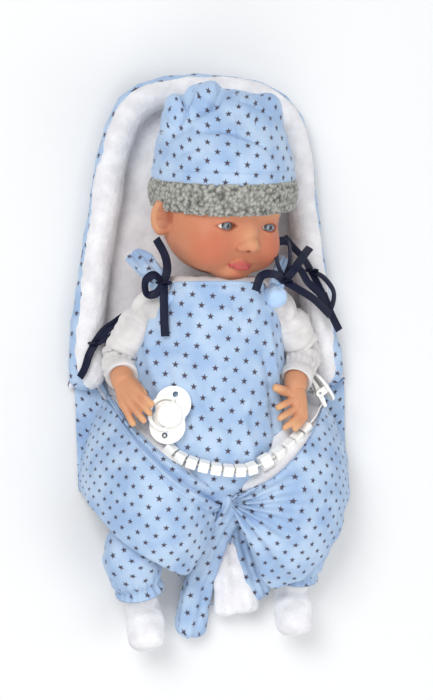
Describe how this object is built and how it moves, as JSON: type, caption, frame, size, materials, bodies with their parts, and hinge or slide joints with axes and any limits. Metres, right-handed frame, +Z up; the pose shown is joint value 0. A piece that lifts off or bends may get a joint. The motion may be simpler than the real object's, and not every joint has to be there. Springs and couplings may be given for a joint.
{
  "type": "interactive baby doll",
  "caption": "Soft-bodied talking baby doll lying in a tied star-print swaddle, with plush-edged cap, romper, bibbed straps, pacifier and bead strap.",
  "frame": {"origin": "on the underside of the swaddle, below the tummy, where the doll rests on a floor", "axes": "+Y from feet to crown, +X towards the doll's left hand, +Z up through its tummy as it lies on its back"},
  "size_m": [0.228, 0.473, 0.1287],
  "materials": {
    "vinyl": "satin",
    "eye": "gloss",
    "star_cloth": "brushed jersey",
    "grey_plush": "looped plush",
    "white_jersey": "matt",
    "body_cloth": "matt",
    "blue_cotton": "matt",
    "navy_satin": "satin",
    "white_fleece": "fleecy",
    "ivory_plastic": "gloss",
    "white_plastic": "matt",
    "black_plastic": "matt",
    "white_cord": "braided",
    "steel": "brushed",
    "board": "satin"
  },
  "bodies": {
    "torso": {"neck_ring": "white_plastic", "cloth_body": "body_cloth", "shirt": "white_jersey", "romper": "star_cloth", "right_strap": "blue_cotton", "left_strap": "blue_cotton", "right_pompom": "blue_cotton", "left_pompom": "blue_cotton", "right_ribbon": "navy_satin", "left_ribbon": "navy_satin", "right_swaddle_ribbon": "navy_satin", "left_swaddle_ribbon": "navy_satin", "swaddle_back": "white_fleece", "swaddle_rim": "white_fleece", "right_flap": "star_cloth", "left_flap": "star_cloth", "right_tail": "star_cloth", "left_tail": "star_cloth", "fleece_lining": "white_fleece", "pacifier_shield": "ivory_plastic", "pacifier_knob": "ivory_plastic", "pacifier_teat": "ivory_plastic", "strap_cord": "white_cord", "strap_beads": "ivory_plastic", "strap_charm": "ivory_plastic", "clip_disc": "ivory_plastic", "clip_pin": "steel", "sound_case": "white_plastic", "sound_cover": "white_plastic", "case_screws": "steel", "speaker": "black_plastic", "circuit_board": "board", "button_cells": "steel", "battery_contacts": "steel", "battery_door": "white_plastic"},
    "head": {"head_shell": "vinyl", "right_eye": "eye", "left_eye": "eye", "hat": "star_cloth", "hat_band": "grey_plush"},
    "right_arm_unit": {"right_arm": "vinyl", "right_sleeve": "white_jersey", "right_shoulder_pin": "white_plastic"},
    "left_arm_unit": {"left_arm": "vinyl", "left_sleeve": "white_jersey", "left_shoulder_pin": "white_plastic"},
    "right_leg_unit": {"right_leg": "vinyl", "right_trouser": "star_cloth", "right_bootie": "white_fleece", "right_hip_pin": "white_plastic"},
    "left_leg_unit": {"left_leg": "vinyl", "left_trouser": "star_cloth", "left_bootie": "white_fleece", "left_hip_pin": "white_plastic"},
    "ring": {"pacifier_ring": "ivory_plastic"},
    "lever": {"clip_lever": "ivory_plastic"},
    "button": {"push_button": "white_plastic"},
    "switch": {"power_switch": "black_plastic"}
  },
  "joints": [
    {"name": "neck_turn", "type": "hinge", "parent": "torso", "child": "head", "pos_m": [0, 0.1, 0.0671], "axis": [0, 1, 0], "range_deg": [-60, 20]},
    {"name": "right_shoulder", "type": "hinge", "parent": "torso", "child": "right_arm_unit", "pos_m": [-0.059, 0.044, 0.051], "axis": [-1, 0, 0], "range_deg": [0, 80]},
    {"name": "left_shoulder", "type": "hinge", "parent": "torso", "child": "left_arm_unit", "pos_m": [0.059, 0.044, 0.051], "axis": [-1, 0, 0], "range_deg": [0, 80]},
    {"name": "right_hip", "type": "hinge", "parent": "torso", "child": "right_leg_unit", "pos_m": [-0.033, -0.1, 0.042], "axis": [-1, 0, 0], "range_deg": [0, 20], "deforming": ["right_flap"]},
    {"name": "left_hip", "type": "hinge", "parent": "torso", "child": "left_leg_unit", "pos_m": [0.033, -0.1, 0.042], "axis": [-1, 0, 0], "range_deg": [0, 20], "deforming": ["left_flap"]},
    {"name": "ring_swing", "type": "hinge", "parent": "torso", "child": "ring", "pos_m": [-0.0423, -0.0362, 0.088], "axis": [0.257, 0.9659, -0.03], "range_deg": [0, 8]},
    {"name": "clip_open", "type": "hinge", "parent": "torso", "child": "lever", "pos_m": [0.0877, -0.0189, 0.047], "axis": [0, 0, 1], "range_deg": [0, 12], "stiffness_Nm_per_rad": 0.05, "springref_deg": -17.19},
    {"name": "button_press", "type": "slide", "parent": "torso", "child": "button", "axis": [0, 0, -1], "range_m": [0, 0.002], "stiffness_N_per_m": 500, "springref_m": -0.001},
    {"name": "switch_slide", "type": "slide", "parent": "torso", "child": "switch", "axis": [1, 0, 0], "range_m": [0, 0.003]}
  ]
}
